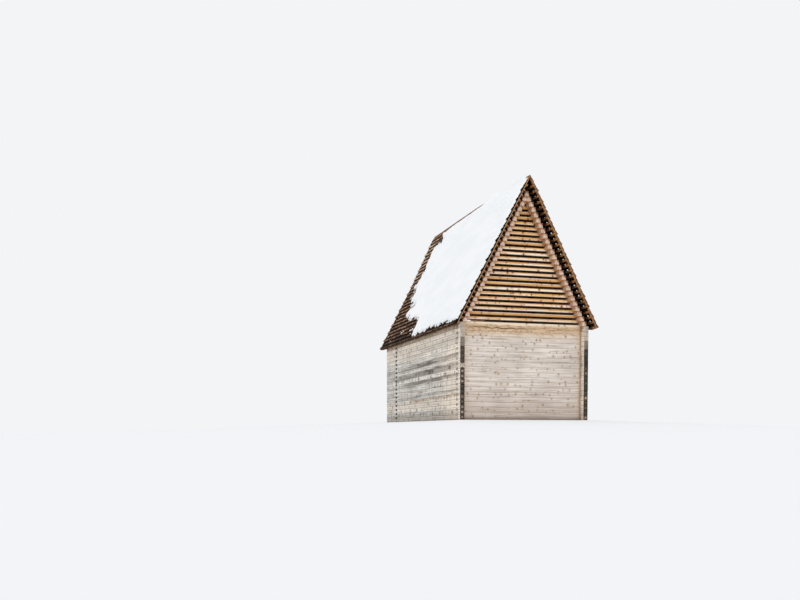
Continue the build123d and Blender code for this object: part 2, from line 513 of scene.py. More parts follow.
def woodHeight(wood, fine=0.35):
    height = times(wood["fine"], fine)
    height = minus(height, times(wood["lines"], 0.5))
    height = plus(height, times(wood["core"], 0.8))
    return minus(height, times(wood["star"], wood["end"], 2.0))


def toned(colour, tone, low, high):
    # a lighter or darker timber here and there
    value = spread(tone, 0.0, 1.0, low, high)
    return addNode("HueSaturation", {"Value": value, "Color": colour}).outputs[0]


def marked(colour, wood, look, *shares):
    # knots, the long crack and the dirty joints, each as strong as its share
    marks = (("halo", "halo"), ("knot", "core"), ("seam", "crack"), ("seam", "joint"))
    for (name, mask), share in zip(marks, shares):
        colour = laid(colour, look[name], wood[mask], share)
    return colour


frontLook = {
    "axis": 0, "stretch": 0.035, "fibres": 190.0, "bands": 30.0, "crack": 0.004, "halfHeight": course / 2,
    "crackWidth": 0.005, "knotSpacing": 0.175, "knotSize": 0.0188, "knotShare": 0.68, "stainSize": 0.9,
    "drip": 9.0, "seamWidth": 0.010, "light": rgb(240, 230, 221), "mid": rgb(216, 204, 192),
    "dark": rgb(150, 128, 108), "line": rgb(146, 124, 106), "lineShare": 0.75, "knot": rgb(94, 68, 42),
    "halo": rgb(184, 155, 122), "warm": rgb(210, 177, 138), "seam": rgb(130, 108, 90),
    "grey": rgb(172, 164, 157), "pale": rgb(238, 220, 196), "warmTop": wallHead - 0.10, "warmReach": 0.36,
    "brown": rgb(98, 64, 38), "ledge": wallHead - 0.040, "endLight": rgb(176, 168, 158),
    "endDark": rgb(132, 124, 116), "endRear": rgb(26, 22, 20), "endCrack": rgb(30, 27, 25),
}


def makeFrontMaterial():
    look = frontLook
    wood, colour = startTimber("frontTimber", look)
    x, y, z = wood["where"]
    colour = laid(colour, look["grey"], wood["stain"], 0.28)
    ripple = minus(noisy(scaled(wood["world"], (1.0, 1.0, 3.0)), 1.7, 2.0), 0.5)
    wavering = plus(z, times(ripple, 0.16))
    warm = spread(wavering, look["warmTop"] - look["warmReach"], look["warmTop"])
    colour = laid(colour, look["warm"], warm, 0.9)
    blotch = spread(noisy(scaled(wood["world"], (1.0, 1.0, 2.0)), 7.0, 3.0, 0.65), 0.50, 0.62)
    colour = laid(colour, look["brown"], times(blotch, warm), 0.40)
    # the top timber is pale like a slat above a brown, wavering line
    above = minus(plus(z, times(ripple, 0.05)), look["ledge"])
    colour = laid(colour, look["pale"], spread(above, 0.0, 0.02), 0.85)
    sag = times(minus(noisy(scaled(wood["world"], (1.0, 1.0, 0.0)), 2.9, 1.0, 0.5), 0.35), 0.12)
    line = spread(absolute(plus(above, 0.046, sag)), 0.004, 0.020, 1.0, 0.0)
    reach = times(spread(x, -1.62, -1.42, 0.25, 1.0), spread(x, -0.3, 0.5, 1.0, 0.40))
    colour = laid(colour, look["brown"], times(line, reach))
    edge = spread(absolute(x), halfWidth - timber - 0.20, halfWidth - timber)
    # darker brown at the right corner: partly stain, partly painted shade of the corner
    rightEdge = spread(x, halfWidth - timber - 0.09, halfWidth - timber - 0.01)
    colour = laid(colour, look["warm"], edge, 0.35)
    colour = laid(colour, look["brown"], rightEdge, 0.5)
    colour = laid(colour, look["dark"], spread(z, 0.1, 1.1, 0.32, 0.0))
    foot = spread(z, 0.0, 0.10, 1.0, 0.0)
    colour = laid(colour, look["brown"], foot, 0.6)
    colour = marked(colour, wood, look, 0.35, 0.72, 0.75, 0.52)
    colour = toned(colour, wood["tone"], 0.95, 1.04)
    # tenon ends in the side walls: grey at the closed gable, near black at the porch
    endColour = blendColour(wood["rings"], look["endDark"], look["endLight"])
    endColour = laid(endColour, look["endCrack"], wood["star"], 0.45)
    endColour = toned(endColour, redrawn(wood["tone"], 11.0), 0.72, 1.18)
    endColour = laid(endColour, look["endRear"], calc("GREATER_THAN", y, 0.0), 0.85)
    colour = laid(colour, endColour, wood["end"])
    return finishMaterial(colour, 0.82, 0.25, woodHeight(wood), 0.0012)


sideLook = {
    "axis": 1, "stretch": 0.03, "fibres": 150.0, "bands": 26.0, "crack": 0.005, "halfHeight": course / 2,
    "crackWidth": 0.006, "knotSpacing": 0.34, "knotSize": 0.024, "knotShare": 0.6, "stainSize": 1.4,
    "drip": 10.0, "seamWidth": 0.012, "light": rgb(251, 247, 239), "mid": rgb(229, 223, 213),
    "dark": rgb(122, 115, 106), "line": rgb(134, 126, 116), "lineShare": 0.85, "knot": rgb(54, 48, 43),
    "halo": rgb(166, 155, 143), "grey": rgb(116, 110, 103), "dampFront": rgb(124, 109, 93),
    "seam": rgb(92, 86, 80), "streak": rgb(40, 37, 34), "eave": rgb(176, 149, 119),
    "top": rgb(254, 239, 221),
    "dampBands": ((2.12, 0.160, 0.28), (1.71, 0.085, 0.85), (1.44, 0.105, 0.95), (1.17, 0.075, 0.80),
                  (0.75, 0.030, 0.60)),
    "dampEnds": (-3.7, 2.5), "dampRise": 0.013, "wet": rgb(84, 64, 46), "dash": 6.5,
    "foot": rgb(132, 118, 102), "rust": rgb(168, 128, 92), "rustHeight": 0.61,
    "endLight": rgb(170, 155, 140), "endDark": rgb(14, 11, 9), "endPale": rgb(222, 207, 190),
    "endCrack": rgb(28, 25, 23), "endJoint": rgb(30, 26, 23), "patch": 1.485,
}


def makeSideMaterial():
    look = sideLook
    wood, colour = startTimber("sideTimber", look)
    x, y, z = wood["where"]
    across, rise = wood["section"][:2]
    high = larger(spread(z, wallHead - 0.85, wallHead - 0.35),
                  spread(y, 2.4 - halfLength, 0.4 - halfLength))
    colour = laid(colour, look["top"], high, 0.8)
    warmRow = spread(absolute(minus(z, 0.50)), 0.08, 0.20, 0.6, 0.0)
    colour = laid(colour, look["top"], warmRow)
    # damp bands that follow single timbers between the two rows of tenons
    drift = sway(0.08, scaled(wood["world"], (0.0, 1.0, 1.0)), 1.3, 3.0)
    waved = plus(z, drift, times(minus(y, look["dampEnds"][1]), look["dampRise"]))
    band = 0.0
    for height, half, depth in look["dampBands"]:
        away = absolute(minus(waved, height))
        band = larger(band, spread(away, half * 0.62, half, depth, 0.0))
    ends = look["dampEnds"]
    band = times(band, times(spread(y, ends[0], ends[0] + 0.9, 0.60, 1.0),
                             spread(y, -0.6, ends[1] + 0.4, 1.0, 0.40)))
    drawn = noisy(scaled(wood["world"], (1.0, 0.30, 2.6)), 2.4, 3.0, 0.6)
    damp = spread(drawn, 0.40, 0.60)
    base = spread(high, 0.0, 1.0, 0.15, 0.04)
    share = plus(times(damp, plus(times(band, 0.34), base)), times(band, 0.54))
    damped = blendColour(spread(y, -3.2, -0.8, 1.0, 0.0), look["grey"], look["dampFront"])
    colour = laid(colour, damped, share)
    rust = absolute(minus(waved, look["rustHeight"]))
    dotted = spread(noisy(scaled(wood["world"], (0.0, 1.0, 0.7)), 13.0, 2.0, 0.6), 0.44, 0.60, 0.15, 1.0)
    dotted = times(dotted, spread(y, 0.2, 1.3, 1.0, 0.1))
    colour = laid(colour, look["rust"], times(spread(rust, 0.03, 0.06, 0.85, 0.0), dotted))
    # rows of soft dark upright stains, one timber tall and broken by fine streaks
    row = joined(times(parted(wood["place"])[0], look["dash"]), times(wood["tone"], 60.0), 0.0)
    dash = spread(noisy(row, 1.0, 2.0, 0.55), 0.54, 0.68)
    fine = spread(noisy(scaled(wood["place"], (1.0, 0.0, 0.12)), 70.0, 2.0, 0.6), 0.36, 0.58, 0.62, 1.0)
    reach = plus(absolute(wood["height"]), times(noisy(wood["place"], 9.0, 1.0), 1.1))
    tall = spread(reach, 0.75, 1.55, 1.0, 0.0)
    picked = spread(redrawn(wood["tone"], 9.0), 0.10, 0.75, 0.30, 0.82)
    dashes = times(dash, fine, times(tall, picked))
    colour = laid(colour, look["streak"], dashes)
    colour = laid(colour, look["streak"], wood["drips"], 0.20)
    # the top timber under the eave is tan: unweathered wood, darkened by painted shade of the eave
    eave = spread(z, wallHead - course - 0.040, wallHead - course + 0.006)
    ticks = spread(noisy(scaled(wood["world"], (1.0, 1.0, 0.12)), 13.0, 2.0, 0.6), 0.46, 0.62, 0.55, 1.0)
    colour = laid(colour, look["eave"], times(eave, ticks))
    colour = laid(colour, look["foot"], spread(z, 0.05, 0.42, 0.50, 0.0))
    colour = laid(colour, look["wet"], spread(z, 0.008, 0.036, 0.8, 0.0))
    # bleached at the front arris, and blackened beside the tenons of the porch
    colour = laid(colour, look["top"], spread(y, 0.10 - halfLength, 0.16 - halfLength, 0.75, 0.0))
    beside = absolute(minus(y, sum(crossings[1]) / 2))
    beside = times(spread(beside, timber * 0.5, timber, 0.75, 0.0),
                   spread(absolute(wood["height"]), 0.35, 0.65))
    colour = laid(colour, look["streak"], beside)
    colour = marked(colour, wood, look, 0.30, 0.85, 0.7, 0.68)
    colour = toned(colour, wood["tone"], 0.89, 1.04)
    # sawn ends: some nearly black, some grey with a pale heart, paler under the eave
    heart = spread(larger(absolute(across), absolute(rise)), 0.014, 0.046, 1.0, 0.0)
    pick = redrawn(wood["tone"], 5.0)
    endColour = blendColour(times(wood["rings"], 0.22), look["endDark"], look["endLight"])
    lit = times(heart, spread(pick, 0.15, 0.85, 0.30, 0.95))
    lit = times(lit, spread(z, look["patch"] - 0.10, look["patch"] + 0.10, 1.0, 0.18))
    endColour = laid(endColour, look["endLight"], lit)
    endColour = toned(endColour, pick, 0.65, 1.25)
    upper = plus(spread(z, wallHead - 0.68, wallHead - 0.62, 0.0, 0.35),
                 spread(z, wallHead - 0.46, wallHead - 0.36, 0.0, 0.65))
    away = absolute(minus(z, look["patch"]))
    arms = minus(absolute(across), away)
    spot = times(spread(away, 0.05, 0.08, 1.0, 0.0), spread(absolute(arms), 0.008, 0.028, 1.0, 0.30))
    spot = times(spot, calc("LESS_THAN", x, 0.0))
    endColour = laid(endColour, look["endPale"], larger(times(upper, 0.75), spot))
    endColour = laid(endColour, look["endCrack"], wood["star"], 0.85)
    endColour = laid(endColour, look["endJoint"], wood["joint"], 0.8)
    colour = laid(colour, endColour, wood["end"])
    return finishMaterial(colour, 0.88, 0.1, woodHeight(wood, 0.6), 0.002)


slatLook = {
    "axis": 0, "stretch": 0.04, "fibres": 200.0, "bands": 30.0, "crack": 0.004,
    "halfHeight": slatHeight / 2, "knotSpacing": 0.17, "knotSize": 0.0260, "knotShare": 0.70,
    "stainSize": 0.6, "drip": 12.0, "seamWidth": 0.010, "light": rgb(238, 188, 122),
    "mid": rgb(222, 166, 102), "dark": rgb(160, 104, 56), "line": rgb(186, 128, 76), "lineShare": 0.5,
    "knot": rgb(88, 46, 24), "halo": rgb(190, 130, 76), "pale": rgb(246, 231, 211), "rim": rgb(112, 94, 78),
    "endDark": rgb(140, 88, 48), "under": rgb(58, 36, 22),
}


def makeSlatMaterial():
    look = slatLook
    wood, colour = startTimber("slatTimber", look)
    x, _, z = wood["where"]
    # painted highlight, standing for light thrown up from the snow, along the lower half on most slats and
    # along the top on some
    height = wood["height"]
    reach = times(minus(redrawn(wood["tone"], 17.0), 0.35), 0.9)
    drift = times(minus(wood["bands"], 0.5), 0.5)
    lower = spread(minus(plus(height, drift), reach), -0.35, 0.30, 1.0, 0.0)
    higher = spread(height, 0.25, 0.75)
    pickLow = spread(wood["tone"], 0.34, 0.40)
    pickHigh = minus(1.0, pickLow)
    patch = spread(noisy(scaled(wood["place"], (1.0, 4.0, 4.0)), 1.1, 2.0), 0.36, 0.50, 0.45, 1.0)
    paintedHighlight = plus(times(lower, pickLow), times(higher, pickHigh, 0.8))
    colour = laid(colour, look["pale"], calc("MULTIPLY", paintedHighlight, patch, True))
    # painted shade along the bottom edge of each slat
    rim = spread(height, -0.92, -0.46, 0.92, 0.0)
    colour = laid(colour, look["rim"], rim)
    colour = marked(colour, wood, look, 0.4, 0.9)
    beside = minus(absolute(x), times(minus(ridgeLow[2], z), step / course))
    colour = laid(colour, look["dark"], spread(z, wallHead, wallHead + 0.9, 0.22, 0.0))
    root = spread(beside, -0.14, -0.03, 0.0, 0.45)
    colour = laid(colour, look["endDark"], root)
    colour = toned(colour, wood["tone"], 0.93, 1.05)
    # painted shade on the tops and undersides, which lie in the dark gaps between the slats
    facing = wood["normal"][2]
    level = larger(spread(facing, 0.60, 0.92, 0.0, 0.8), spread(facing, -0.15, -0.60, 0.0, 0.92))
    colour = laid(colour, look["under"], level)
    endColour = blendColour(wood["rings"], look["endDark"], look["mid"])
    colour = laid(colour, endColour, wood["end"])
    return finishMaterial(colour, 0.75, 0.3, woodHeight(wood), 0.0012)


purlinLook = {
    "axis": 1, "stretch": 0.03, "fibres": 160.0, "bands": 24.0, "crack": 0.010, "halfHeight": course / 2,
    "knotSpacing": 0.28, "knotSize": 0.02, "knotShare": 0.6, "stainSize": 0.8, "drip": 9.0,
    "seamWidth": 0.014, "light": rgb(222, 192, 162), "mid": rgb(200, 166, 134), "dark": rgb(124, 88, 58),
    "line": rgb(146, 106, 74), "lineShare": 0.6, "knot": rgb(84, 48, 28), "seam": rgb(108, 74, 48),
    "end": rgb(246, 222, 202), "endRing": rgb(192, 152, 122), "star": rgb(244, 232, 218),
    "corner": rgb(96, 50, 24), "gold": rgb(178, 112, 50), "under": rgb(236, 158, 82),
    "shade": rgb(84, 61, 44),
}


def makePurlinMaterial():
    look = purlinLook
    wood, colour = startTimber("purlinTimber", look)
    x, y = wood["where"][:2]
    across, rise = wood["section"][:2]
    colour = laid(colour, look["knot"], wood["core"], 0.9)
    colour = laid(colour, look["seam"], wood["joint"], 0.6)
    colour = toned(colour, wood["tone"], 0.9, 1.05)
    # under the verge the outer and upper faces get painted shade, and the undersides a bright gold as painted
    # light
    verge = spread(absolute(y), crossings[1][1], crossings[1][1] + 0.02)
    facing = times(wood["normal"][0], calc("SIGN", x))
    shadedFaces = larger(spread(facing, 0.4, 0.7), spread(wood["normal"][2], 0.4, 0.7))
    colour = laid(colour, look["shade"], times(shadedFaces, verge), 0.88)
    below = times(spread(wood["normal"][2], -0.4, -0.7), verge)
    colour = laid(colour, look["under"], below, 0.85)
    mottled = spread(noisy(wood["place"], 24.0, 2.0, 0.6), 0.42, 0.58)
    endColour = blendColour(times(wood["rings"], 0.6), look["end"], look["endRing"])
    endColour = laid(endColour, look["endRing"], mottled, 0.6)
    endColour = laid(endColour, look["star"], wood["star"], 0.35)
    # resin at the outer upper corner, darkened further as painted shade from the roof above it, and dirt
    # along the joint with the next end
    outward = times(across, calc("SIGN", x))
    ragged = sway(0.05, wood["place"], 22.0, 2.0)
    corner = spread(plus(outward, rise, ragged), 0.020, 0.070)
    inner = spread(plus(minus(rise, outward), ragged), 0.040, 0.090)
    endColour = laid(endColour, look["gold"], inner, 0.7)
    endColour = laid(endColour, look["corner"], corner, 0.85)
    endColour = laid(endColour, look["corner"], wood["joint"], 0.55)
    spots = spread(noisy(wood["place"], 16.0, 2.0), 0.56, 0.66, 0.0, 0.45)
    endColour = laid(endColour, look["corner"], spots)
    colour = laid(colour, endColour, wood["end"])
    return finishMaterial(colour, 0.8, 0.25, woodHeight(wood), 0.0015)


plainLook = {
    "stretch": 0.04, "fibres": 220.0, "bands": 34.0, "crack": 0.003, "halfHeight": 0.03,
    "knotSpacing": 0.34, "knotSize": 0.014, "knotShare": 0.5, "stainSize": 0.5, "drip": 10.0,
    "seamWidth": 0.004,
}


def makePlainTimber(name, axis, colours):
    # laths, battens, boards and the door frame: one recipe, each with its own colours
    look = {**plainLook, "axis": axis, **colours}
    wood, colour = startTimber(name, look)
    colour = laid(colour, look["stain"], times(wood["stain"], look["stainShare"]))
    colour = laid(colour, look["knot"], wood["core"], 0.85)
    colour = toned(colour, wood["tone"], 0.85, 1.12)
    endColour = blendColour(wood["rings"], look["endLight"], look["endDark"])
    if "heart" in look:
        # only the middle of the sawn end stays golden, ringed with painted shade, and the last hand's breadth
        # of the faces behind it gets painted light where light reaches in under the verge
        away = larger(absolute(wood["section"][0]), absolute(wood["section"][1]))
        ragged = sway(0.016, wood["place"], 40.0, 2.0)
        endColour = laid(endColour, look["rim"], spread(plus(away, ragged), *look["heart"]))
        litGold = spread(absolute(wood["where"][1]), look["litGoldFrom"], look["litGoldFrom"] + 0.06)
        picked = spread(redrawn(wood["tone"], 7.0), 0.1, 0.6, 0.15, 0.60)
        colour = laid(colour, look["litGold"], times(litGold, picked))
    colour = laid(colour, endColour, wood["end"])
    if "shade" in look:
        # painted shadow of the covering along the outer edge of the side next to it
        start, full, share = look["shade"]
        ragged = sway(0.012, wood["place"], 14.0, 2.0)
        outward = plus(wood["section"][1], ragged)
        colour = laid(colour, look["shadeColour"], spread(outward, start, full, 0.0, share))
    return finishMaterial(colour, 0.8, 0.25, woodHeight(wood), 0.001)


shingleLook = {
    "axis": 1, "stretch": 0.10, "fibres": 130.0, "bands": 40.0, "crack": 0.003, "halfHeight": 0.02,
    "knotSpacing": 0.6, "knotSize": 0.01, "knotShare": 0.2, "stainSize": 0.7, "drip": 9.0,
    "seamWidth": 0.003, "light": rgb(238, 186, 148), "mid": rgb(146, 104, 78), "dark": rgb(40, 28, 22),
    "under": rgb(112, 84, 62), "line": rgb(40, 29, 23), "lineShare": 0.6, "silver": rgb(184, 152, 128),
    "upper": rgb(14, 10, 8), "butt": rgb(18, 13, 10), "sideDark": rgb(16, 11, 9),
    "sideTan": rgb(176, 126, 90), "sideTip": rgb(44, 28, 18), "eaveButt": rgb(206, 136, 74),
    "bare": rgb(246, 210, 178),
}


def makeShingleMaterial():
    look = shingleLook
    wood, colour = startTimber("shingleWood", look)
    colour = laid(colour, look["silver"], wood["stain"], 0.40)
    colour = toned(colour, redrawn(wood["tone"], 3.0), 0.35, 1.22)
    # each course is bleached towards its butt and dark where the next course shades it
    x, y, z = wood["where"]
    inward = minus(halfWidth, absolute(x))
    above = minus(z, wallHead)
    up = plus(times(inward, cosSlope), times(above, sinSlope))
    out = minus(times(above, cosSlope), times(inward, sinSlope))
    exposed = plus(wood["section"][2], times(wood["fine"], 0.03), times(wood["tone"], 0.035))
    upper = spread(exposed, pitch * 0.36, pitch * 0.60, 0.0, 0.95)
    colour = laid(colour, look["upper"], upper)
    bare = times(spread(y, 2.9, 3.5), spread(up, 1.6, 3.6, 0.0, 0.85))
    bare = times(bare, minus(1.0, upper))
    colour = laid(colour, look["bare"], bare)
    # the two courses over the eave stay wet and dark
    colour = laid(colour, look["upper"], spread(up, pitch * 0.5, pitch * 2.2, 0.62, 0.0))
    normal = wood["normal"]
    down = minus(times(absolute(normal[0]), cosSlope), times(normal[2], sinSlope))
    outward = plus(times(normal[0], calc("SIGN", x), sinSlope), times(normal[2], cosSlope))
    # undersides darker: painted shade under the covering
    colour = laid(colour, look["under"], spread(outward, -0.4, -0.7))
    # butt ends near black: dark wet end grain, with painted shade of the gap under each butt
    butt = spread(down, 0.45, 0.75)
    colour = laid(colour, look["butt"], butt)
    # the lowest layer at the eave is fresh wood that drips keep clean
    lowest = times(spread(out, roof["coverBase"] + 0.006, roof["coverBase"] + 0.012, 1.0, 0.0),
                   spread(up, 0.04 - roof["eaveReach"], 0.06 - roof["eaveReach"], 0.85, 0.0))
    colour = laid(colour, look["eaveButt"], lowest)
    # split sides show along the verges: blackened on the weather side, brown with dark tips on the other
    sheltered = calc("GREATER_THAN", x, 0.0)
    tip = spread(wood["section"][1], 0.008, 0.017)
    sideColour = blendColour(sheltered, look["sideDark"],
                             blendColour(tip, look["sideTan"], look["sideTip"]))
    sideColour = toned(sideColour, wood["tone"], 0.70, 1.15)
    colour = laid(colour, sideColour, spread(absolute(normal[1]), 0.6, 0.85))
    return finishMaterial(colour, 0.9, 0.05, woodHeight(wood, 0.9), 0.002)


def makeSnowMaterial():
    newMaterial("roofSnow")
    world = addNode("NewGeometry").outputs["Position"]
    broad = noisy(scaled(world, (1.0, 0.35, 1.0)), 2.2, 3.0, 0.5)
    fine = noisy(world, 240.0, 2.0, 0.6)
    colour = blendColour(spread(broad, 0.35, 0.65), rgb(250, 251, 252), rgb(245, 247, 249))
    return finishMaterial(colour, 0.7, 0.2, plus(times(broad, 3.0), fine), 0.002)


# the batten faces are dark browns as painted shade of the deep space under the roof; the sawn ends keep a
# golden colour
battenColours = {
    "light": rgb(96, 68, 42), "mid": rgb(74, 52, 34), "dark": rgb(46, 32, 22), "line": rgb(52, 36, 24),
    "lineShare": 0.6, "knot": rgb(70, 40, 22), "stain": rgb(70, 48, 32), "stainShare": 0.6,
    "endLight": rgb(206, 146, 84), "endDark": rgb(150, 94, 48), "heart": (0.010, 0.024),
    "rim": rgb(70, 46, 28), "litGold": rgb(196, 128, 56), "litGoldFrom": vergeY - 0.16,
}
lathColours = {
    "light": rgb(210, 162, 118), "mid": rgb(182, 132, 92), "dark": rgb(116, 78, 50),
    "line": rgb(126, 86, 54), "lineShare": 0.5, "knot": rgb(84, 50, 30), "stain": rgb(74, 48, 30),
    "stainShare": 0.85, "stainSize": 0.11, "endLight": rgb(190, 150, 110), "endDark": rgb(120, 84, 56),
    "shade": (0.003, 0.010, 0.8), "shadeColour": rgb(50, 34, 24),
}
ridgeColours = {
    "light": rgb(146, 100, 64), "mid": rgb(106, 70, 44), "dark": rgb(60, 40, 26), "line": rgb(76, 50, 32),
    "lineShare": 0.6, "knot": rgb(46, 30, 20), "stain": rgb(120, 92, 70), "stainShare": 0.4,
    "endLight": rgb(196, 158, 120), "endDark": rgb(120, 84, 56),
}
frameColours = {
    "light": rgb(210, 178, 140), "mid": rgb(184, 148, 110), "dark": rgb(126, 92, 62),
    "line": rgb(142, 106, 74), "lineShare": 0.5, "knot": rgb(92, 56, 34), "stain": rgb(150, 128, 106),
    "stainShare": 0.4, "endLight": rgb(190, 156, 120), "endDark": rgb(126, 92, 62),
}
deckColours = {
    "light": rgb(190, 170, 146), "mid": rgb(164, 142, 118), "dark": rgb(104, 84, 66),
    "line": rgb(120, 98, 78), "lineShare": 0.6, "knot": rgb(76, 50, 34), "stain": rgb(128, 114, 100),
    "stainShare": 0.5, "endLight": rgb(150, 126, 102), "endDark": rgb(96, 76, 58),
}

frontTimber = makeFrontMaterial()
sideTimber = makeSideMaterial()
slatTimber = makeSlatMaterial()
purlinTimber = makePurlinMaterial()
battenTimber = makePlainTimber("battenTimber", 1, battenColours)
lathTimber = makePlainTimber("lathTimber", 1, lathColours)
ridgeTimber = makePlainTimber("ridgeBoard", 1, ridgeColours)
frameTimber = makePlainTimber("frameTimber", 2, frameColours)
deckTimber = makePlainTimber("deckTimber", 1, deckColours)
shingleWood = makeShingleMaterial()
snowMaterial = makeSnowMaterial()
print("chapel: materials made")


# Side walls and stepped purlins

longEdges = {"bevel": 0.006, "segments": 2, "spacing": 0.45, "bow": 0.0018}


def longTimber(batch, number, side, edges, notchAbove=True):
    outer = halfWidth - stepIn(number)
    a0, a1 = (-outer, -outer + timber) if side < 0 else (outer - timber, outer)
    low = number * course
    high = low + course - joinery["seat"]
    top = low + course - joinery["lap"] if notchAbove else high
    rings = [(-halfLength, a0, a1, low, high)]
    for start, end in crossings:
        rings.append((start - joinery["stepGap"], a0, a1, low, high))
        rings += [(y, a0, a1, low + joinery["lap"], top) for y in (start, end)]
        rings.append((end + joinery["stepGap"], a0, a1, low, high))
    rings.append((halfLength, a0, a1, low, high))
    loftTimber(batch, rings, alongY, edges, ((a0 + a1) / 2, (low + high) / 2))


def makeSideWalls():
    for name, side, seed in bothSides(11):
        parts = (("_sill", 0, 1), ("_wall", 1, wallCourses - 1),
                 ("_wall_plate", wallCourses - 1, wallCourses))
        for label, first, last in parts:
            batch = newBatch(seed * 100 + first)
            for number in range(first, last):
                longTimber(batch, number, side, longEdges)
            finishBatch(batch, name + label + "_timber", sideTimber, [name + label])
        batch = newBatch(seed * 100 + 50)
        top = wallCourses + purlinCourses - 1
        for number in range(wallCourses, top + 1):
            longTimber(batch, number, side, longEdges, number < top)
        finishBatch(batch, name + "_purlin_timber", purlinTimber, [name + "_purlins"])


# Cross walls and gable slats

crossEdges = {"bevel": 0.005, "segments": 2, "spacing": 0.40, "bow": 0.0015}
slatEdges = {"bevel": 0.013, "segments": 3, "spacing": 0.22, "bow": 0.003}


def tenonRings(seam, low, high, depth):
    height = seam * course
    lap = joinery["lap"]
    gap = joinery["stepGap"]
    below = -halfWidth + stepIn(seam - 1)
    above = -halfWidth + stepIn(seam)
    a0, a1 = depth
    bottom = max(low, height - lap)
    top = height + lap - joinery["seat"]
    rings = []
    if above > below:
        rings.append((below, a0, a1, bottom, height))
        rings.append((above - gap, a0, a1, bottom, height))
    rings.append((above, a0, a1, bottom, top))
    rings.append((below + timber - gap, a0, a1, bottom, top))
    rings.append((below + timber, a0, a1, low, top))
    if above + timber < -joinery["seat"]:
        if above > below:
            rings.append((above + timber - gap, a0, a1, low, top))
        rings.append((above + timber, a0, a1, low, high))
    return rings


def crossTimber(batch, seam, low, high, depth, edges, side=0):
    # side: -1 or 1 for a timber that stops at the doorway
    rings = tenonRings(seam, low, high, depth)
    if side:
        rings.append((jambLow[0], depth[0], depth[1], low, high))
    else:
        rings += [(-ring[0],) + ring[1:] for ring in reversed(rings)]
    if side > 0:
        rings = [(-ring[0],) + ring[1:] for ring in reversed(rings)]
    loftTimber(batch, rings, alongX, edges, (sum(depth) / 2, (low + high) / 2))


def courseRange(seam):
    # the top timber is cut down below the first gap of the gable
    high = seam * course + slatHeight / 2 if seam == wallCourses else (seam + 0.5) * course - joinery["seat"]
    return max(0, (seam - 0.5) * course), high


def makeCrossWalls():
    front, rear = crossings
    overDoor = round(headHigh[2] / course - 0.5) + 1
    # node, place along the building, first and last timber, seed, side of the doorway
    walls = (
        ("front_sill", front, 0, 0, 21, 0), ("front_wall", front, 1, wallCourses, 22, 0),
        ("rear_sill", rear, 0, 1, 23, 0),
        ("rear_wall_left", rear, 2, overDoor - 1, 23, -1),
        ("rear_wall_right", rear, 2, overDoor - 1, 25, 1),
        ("rear_wall_over_door", rear, overDoor, wallCourses, 26, 0),
    )
    for node, depth, first, last, seed, side in walls:
        batch = newBatch(seed)
        for seam in range(first, last + 1):
            crossTimber(batch, seam, *courseRange(seam), depth, crossEdges, side)
        finishBatch(batch, node + "_timber", frontTimber, [node])


def makeSlats():
    for name, depth, seed in (("front", crossings[0], 31), ("rear", crossings[1], 32)):
        batch = newBatch(seed)
        for seam in range(wallCourses + 1, wallCourses + purlinCourses):
            middle = seam * course
            crossTimber(batch, seam, middle - slatHeight / 2, middle + slatHeight / 2, depth, slatEdges)
        finishBatch(batch, name + "_slats", slatTimber, [name + "_gable_slats"])


# Doorway and floor

frameEdges = {"bevel": 0.004, "segments": 2, "spacing": 0.5, "bow": 0.0}
deck = {"boardWidth": 0.142, "gap": 0.002}


def makeDoorFrame():
    parts = (("door_jamb_left", "_post", 2, 41), ("door_jamb_right", "_post", 2, 41),
             ("door_head", "_beam", 0, 42))
    for node, label, axis, seed in parts:
        batch = newBatch(seed)
        straightTimber(batch, axis, *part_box(node), frameEdges)
        finishBatch(batch, node + label, frameTimber, [node])


def makeDeck():
    batch = newBatch(43)
    count = round((deckHigh[0] - deckLow[0]) / deck["boardWidth"])
    width = (deckHigh[0] - deckLow[0]) / count
    for number in range(count):
        a0 = deckLow[0] + number * width + deck["gap"] / 2
        a1 = a0 + width - deck["gap"]
        straightTimber(batch, 1, (a0, *deckLow[1:]), (a1, *deckHigh[1:]), frameEdges)
    finishBatch(batch, "floor_boards", deckTimber, ["floor_deck"])


# Roof: ridge timber, battens, verge laths and ridge boards

battenEdges = {"bevel": 0.004, "segments": 1, "spacing": 0.8, "bow": 0.0015}
battenStray = 0.012
lathTip = 0.008
ridgeBoards = {"cuts": (-1.9, 1.35, 2.6), "shift": 0.3, "past": 1.15, "gap": 0.003, "slip": (-0.006, 0.004)}


def makeRidgeTimber():
    batch = newBatch(51)
    half = timber / 2
    shoulder = wallHead + (halfWidth - half) * math.tan(slope)
    straightTimber(batch, 1, (-half, -halfLength, ridgeLow[2]), (half, halfLength, ridgeHigh[2]), longEdges)
    # the upper corners are cut back to the slope so that the rafters pass
    for index, (x, y, z) in enumerate(batch["points"]):
        limit = half - max(0.0, z - shoulder) / math.tan(slope)
        if abs(x) > limit:
            batch["points"][index] = (math.copysign(limit, x), y, z)
    finishBatch(batch, "ridge_timber_beam", purlinTimber, ["ridge_timber"])


def makeBattens():
    first = -roof["eaveReach"] + roof["tailCut"]
    last = slopeTop(roof["battenBase"]) - roof["battenWidth"] - roof["ridgeGap"]
    count = int((last - first) / pitch) + 1
    for name, side, seed in bothSides(52):
        batch = newBatch(seed)

        def toWorld(along, up, out):
            x, z = slopePoint(side, up, out)
            return x, along, z

        for number in range(count):
            low = first + number * pitch
            high = low + roof["battenWidth"]
            ends = [way * (vergeY - batch["rng"].uniform(0.0, battenStray)) for way in (-1, 1)]
            rings = [(y, low, high, roof["battenBase"], roof["coverBase"]) for y in ends]
            loftTimber(batch, rings, toWorld, battenEdges,
                       ((low + high) / 2, roof["battenBase"] + roof["battenDepth"] / 2))
        finishBatch(batch, name + "_batten_lathing", battenTimber, [name + "_battens"])


